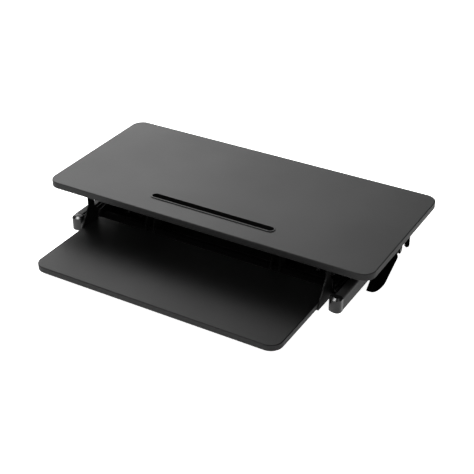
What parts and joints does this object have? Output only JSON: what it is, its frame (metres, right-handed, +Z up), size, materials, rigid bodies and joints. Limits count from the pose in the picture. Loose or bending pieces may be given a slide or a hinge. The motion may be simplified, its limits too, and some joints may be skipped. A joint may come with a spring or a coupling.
{
  "type": "standing desk converter",
  "caption": "Desktop riser: wide dark board with a tablet slot over a lower keyboard tray, on a scissor lift with gas springs, side rails, feet and a squeeze handle at the right",
  "frame": {"origin": "centre of the lowered converter's bounding box in plan, on the surface it stands on", "axes": "+X to the user's right along the desktop's long side, +Y away from the user, +Z up"},
  "size_m": [0.9, 0.6226, 0.1245],
  "materials": {
    "frame_steel": "fine powder coat, low sheen",
    "laminate": "satin black laminate with a faint orange-peel grain",
    "cap_plastic": "glossy moulded plastic",
    "handle_plastic": "satin moulded plastic",
    "liner_plastic": "satin moulded plastic",
    "zinc_steel": "bright zinc-plated",
    "dark_hardware": "black oxide",
    "rubber": "matt",
    "spring_steel": "drawn wire",
    "polished_rod": "polished",
    "roller_nylon": "satin nylon"
  },
  "bodies": {
    "base": {"base_rail_left": "frame_steel", "base_rail_right": "frame_steel", "front_cap_left": "cap_plastic", "front_cap_right": "cap_plastic", "rear_caps": "handle_plastic", "front_cross_plate": "frame_steel", "rear_cross_plate": "frame_steel", "base_pivot_plates": "frame_steel", "base_pivot_bolts": "dark_hardware", "base_spacers": "zinc_steel", "rubber_feet": "rubber", "spring_lugs": "frame_steel", "lug_pins": "zinc_steel", "base_screws": "dark_hardware"},
    "inner_arms": {"inner_arm_left": "frame_steel", "inner_arm_right": "frame_steel", "torque_tube": "frame_steel", "inner_cross_tube": "frame_steel", "spring_cranks": "frame_steel", "crank_pins": "zinc_steel", "upper_roller_axles": "zinc_steel"},
    "outer_arms": {"outer_arm_left": "frame_steel", "outer_arm_right": "frame_steel", "outer_front_tube": "frame_steel", "outer_rear_tube": "frame_steel", "lower_roller_axles": "zinc_steel", "centre_bolts": "dark_hardware", "centre_washers": "zinc_steel"},
    "top": {"desk_top": "laminate", "tablet_slot_liner": "liner_plastic", "upper_channel_left": "frame_steel", "upper_channel_right": "frame_steel", "upper_pivot_brackets": "frame_steel", "upper_pivot_bolts": "dark_hardware", "upper_spacers": "zinc_steel", "tray_hanger_left": "frame_steel", "tray_hanger_right": "frame_steel", "keyboard_tray": "laminate", "tray_screws": "dark_hardware", "top_screws": "dark_hardware", "handle_bracket": "frame_steel", "handle_pin": "zinc_steel", "handle_spring": "spring_steel", "cable_stop": "frame_steel"},
    "upper_roller_left": {"upper_roller_left": "roller_nylon"},
    "lower_roller_left": {"lower_roller_left": "roller_nylon"},
    "spring_cylinder_left": {"gas_spring_cylinder_left": "frame_steel"},
    "spring_rod_left": {"gas_spring_rod_left": "polished_rod", "release_head_left": "dark_hardware"},
    "release_lever_left": {"release_lever_left": "dark_hardware"},
    "upper_roller_right": {"upper_roller_right": "roller_nylon"},
    "lower_roller_right": {"lower_roller_right": "roller_nylon"},
    "spring_cylinder_right": {"gas_spring_cylinder_right": "frame_steel"},
    "spring_rod_right": {"gas_spring_rod_right": "polished_rod", "release_head_right": "dark_hardware"},
    "release_lever_right": {"release_lever_right": "dark_hardware"},
    "handle": {"handle": "handle_plastic"}
  },
  "joints": [
    {"name": "lift", "type": "hinge", "parent": "base", "child": "inner_arms", "pos_m": [0, -0.02575, 0.0195], "axis": [1, 0, 0], "range_deg": [0, 57.5]},
    {"name": "arm_centre", "type": "hinge", "parent": "inner_arms", "child": "outer_arms", "pos_m": [0, 0.13225, 0.05275], "axis": [1, 0, 0], "range_deg": [-115, 0]},
    {"name": "top_pivot", "type": "hinge", "parent": "outer_arms", "child": "top", "pos_m": [0, -0.02575, 0.086], "axis": [1, 0, 0], "range_deg": [0, 57.5]},
    {"name": "spring_lug_pivot_left", "type": "hinge", "parent": "base", "child": "spring_rod_left", "pos_m": [-0.18, 0.05025, 0.0195], "axis": [1, 0, 0], "range_deg": [0, 28.75]},
    {"name": "spring_crank_pivot_left", "type": "hinge", "parent": "inner_arms", "child": "spring_cylinder_left", "pos_m": [-0.18, -0.01255, 0.09434], "axis": [1, 0, 0], "range_deg": [-28.75, 0]},
    {"name": "upper_roller_spin_left", "type": "hinge", "parent": "inner_arms", "child": "upper_roller_left", "pos_m": [-0.324, 0.29025, 0.086], "axis": [1, 0, 0], "continuous": true},
    {"name": "lower_roller_spin_left", "type": "hinge", "parent": "outer_arms", "child": "lower_roller_left", "pos_m": [-0.3645, 0.29025, 0.0195], "axis": [1, 0, 0], "continuous": true},
    {"name": "release_lever_pivot_left", "type": "hinge", "parent": "spring_rod_left", "child": "release_lever_left", "pos_m": [-0.18, 0.04435, 0.03805], "axis": [1, 0, 0], "range_deg": [0, 12]},
    {"name": "spring_lug_pivot_right", "type": "hinge", "parent": "base", "child": "spring_rod_right", "pos_m": [0.18, 0.05025, 0.0195], "axis": [1, 0, 0], "range_deg": [0, 28.75]},
    {"name": "spring_crank_pivot_right", "type": "hinge", "parent": "inner_arms", "child": "spring_cylinder_right", "pos_m": [0.18, -0.01255, 0.09434], "axis": [1, 0, 0], "range_deg": [-28.75, 0]},
    {"name": "upper_roller_spin_right", "type": "hinge", "parent": "inner_arms", "child": "upper_roller_right", "pos_m": [0.324, 0.29025, 0.086], "axis": [1, 0, 0], "continuous": true},
    {"name": "lower_roller_spin_right", "type": "hinge", "parent": "outer_arms", "child": "lower_roller_right", "pos_m": [0.3645, 0.29025, 0.0195], "axis": [1, 0, 0], "continuous": true},
    {"name": "release_lever_pivot_right", "type": "hinge", "parent": "spring_rod_right", "child": "release_lever_right", "pos_m": [0.18, 0.04435, 0.03805], "axis": [1, 0, 0], "range_deg": [0, 12]},
    {"name": "handle_squeeze", "type": "hinge", "parent": "top", "child": "handle", "pos_m": [0.428, 0.10825, 0.077], "axis": [-1, 0, 0], "range_deg": [0, 6], "stiffness_Nm_per_rad": 4, "springref_deg": -14.32}
  ],
  "couplings": [
    {"joint": "arm_centre", "follows": "lift", "ratio": -2},
    {"joint": "top_pivot", "follows": "lift", "ratio": 1},
    {"joint": "spring_lug_pivot_left", "follows": "lift", "ratio": 0.5},
    {"joint": "spring_crank_pivot_left", "follows": "lift", "ratio": -0.5},
    {"joint": "release_lever_pivot_left", "follows": "handle_squeeze", "ratio": 2},
    {"joint": "spring_lug_pivot_right", "follows": "lift", "ratio": 0.5},
    {"joint": "spring_crank_pivot_right", "follows": "lift", "ratio": -0.5},
    {"joint": "release_lever_pivot_right", "follows": "handle_squeeze", "ratio": 2}
  ]
}
